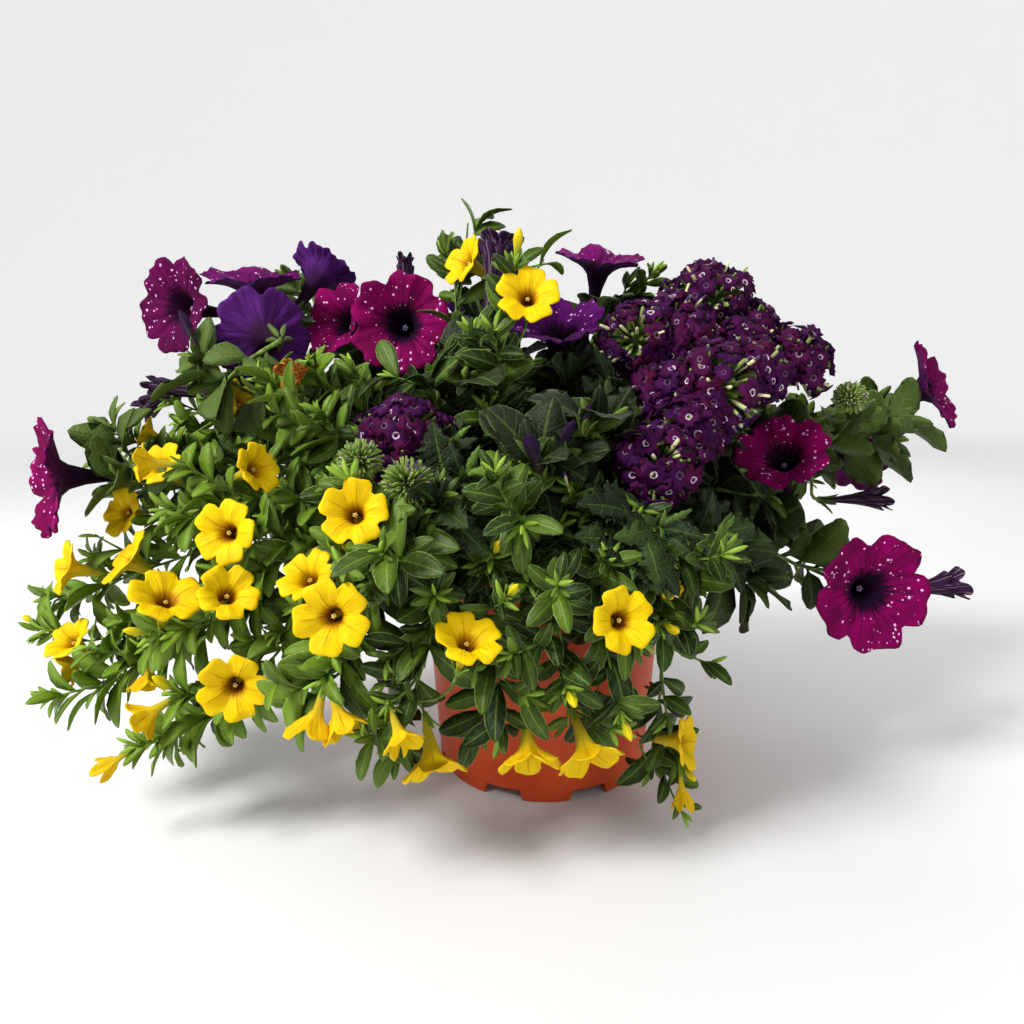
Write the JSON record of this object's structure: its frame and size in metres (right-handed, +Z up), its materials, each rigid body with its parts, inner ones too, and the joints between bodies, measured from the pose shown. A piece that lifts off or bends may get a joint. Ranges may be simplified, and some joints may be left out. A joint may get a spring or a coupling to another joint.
{
  "type": "potted mixed verbena, petunia and calibrachoa",
  "caption": "Mounded, trailing mixed planting of purple verbena, speckled magenta petunia and yellow calibrachoa in a tapered plastic nursery pot with a footed base.",
  "frame": {"origin": "on the pot's axis at floor level", "axes": "+Z up; -Y towards the eye that took the picture; +X to its right, along the widest spread"},
  "size_m": [0.5411, 0.3023, 0.3101],
  "materials": {
    "pot": "moulded satin, terracotta orange",
    "soil": "loose peat and bark",
    "calibrachoa_leaf": "soft leaf",
    "petunia_leaf": "hairy leaf",
    "verbena_leaf": "crinkled leaf",
    "calibrachoa_petal": "soft petal",
    "petunia_petal": "velvety speckled petal",
    "verbena_petal": "velvety petal"
  },
  "bodies": {
    "root": {"pot": "pot", "soil": "soil", "petunia_bloom_01": "petunia_petal", "petunia_bloom_02": "petunia_petal", "petunia_bloom_03": "petunia_petal", "petunia_bloom_04": "petunia_petal", "petunia_bloom_05": "petunia_petal", "petunia_bloom_06": "petunia_petal", "petunia_bloom_07": "petunia_petal", "petunia_bloom_08": "petunia_petal", "petunia_bloom_09": "petunia_petal", "petunia_bloom_10": "petunia_petal", "petunia_bloom_11": "petunia_petal", "petunia_bloom_12": "petunia_petal", "petunia_bloom_13": "petunia_petal", "petunia_bloom_14": "petunia_petal", "petunia_bloom_15": "petunia_petal", "petunia_bloom_16": "petunia_petal", "yellow_bloom_01": "calibrachoa_petal", "yellow_bloom_02": "calibrachoa_petal", "yellow_bloom_03": "calibrachoa_petal", "yellow_bloom_04": "calibrachoa_petal", "yellow_bloom_05": "calibrachoa_petal", "yellow_bloom_06": "calibrachoa_petal", "yellow_bloom_07": "calibrachoa_petal", "yellow_bloom_08": "calibrachoa_petal", "yellow_bloom_09": "calibrachoa_petal", "yellow_bloom_10": "calibrachoa_petal", "yellow_bloom_11": "calibrachoa_petal", "yellow_bloom_12": "calibrachoa_petal", "yellow_bloom_13": "calibrachoa_petal", "yellow_bloom_14": "calibrachoa_petal", "yellow_bloom_15": "calibrachoa_petal", "yellow_bloom_16": "calibrachoa_petal", "yellow_bloom_17": "calibrachoa_petal", "yellow_bloom_18": "calibrachoa_petal", "yellow_bloom_19": "calibrachoa_petal", "yellow_bloom_20": "calibrachoa_petal", "yellow_bloom_21": "calibrachoa_petal", "yellow_bloom_22": "calibrachoa_petal", "verbena_heads_1": "verbena_petal", "verbena_heads_2": "verbena_petal", "verbena_heads_3": "verbena_petal", "verbena_heads_4": "verbena_petal", "verbena_heads_5": "verbena_petal", "verbena_heads_6": "verbena_petal", "verbena_heads_7": "verbena_petal", "calibrachoa_left": "calibrachoa_leaf", "calibrachoa_front_left": "calibrachoa_leaf", "calibrachoa_front": "calibrachoa_leaf", "calibrachoa_right": "calibrachoa_leaf", "calibrachoa_top": "calibrachoa_leaf", "calibrachoa_back": "calibrachoa_leaf", "petunia_left": "petunia_leaf", "petunia_top": "petunia_leaf", "petunia_right": "petunia_leaf", "petunia_back": "petunia_leaf", "verbena_right": "verbena_leaf", "verbena_left": "verbena_leaf", "verbena_back": "verbena_leaf"}
  },
  "joints": []
}
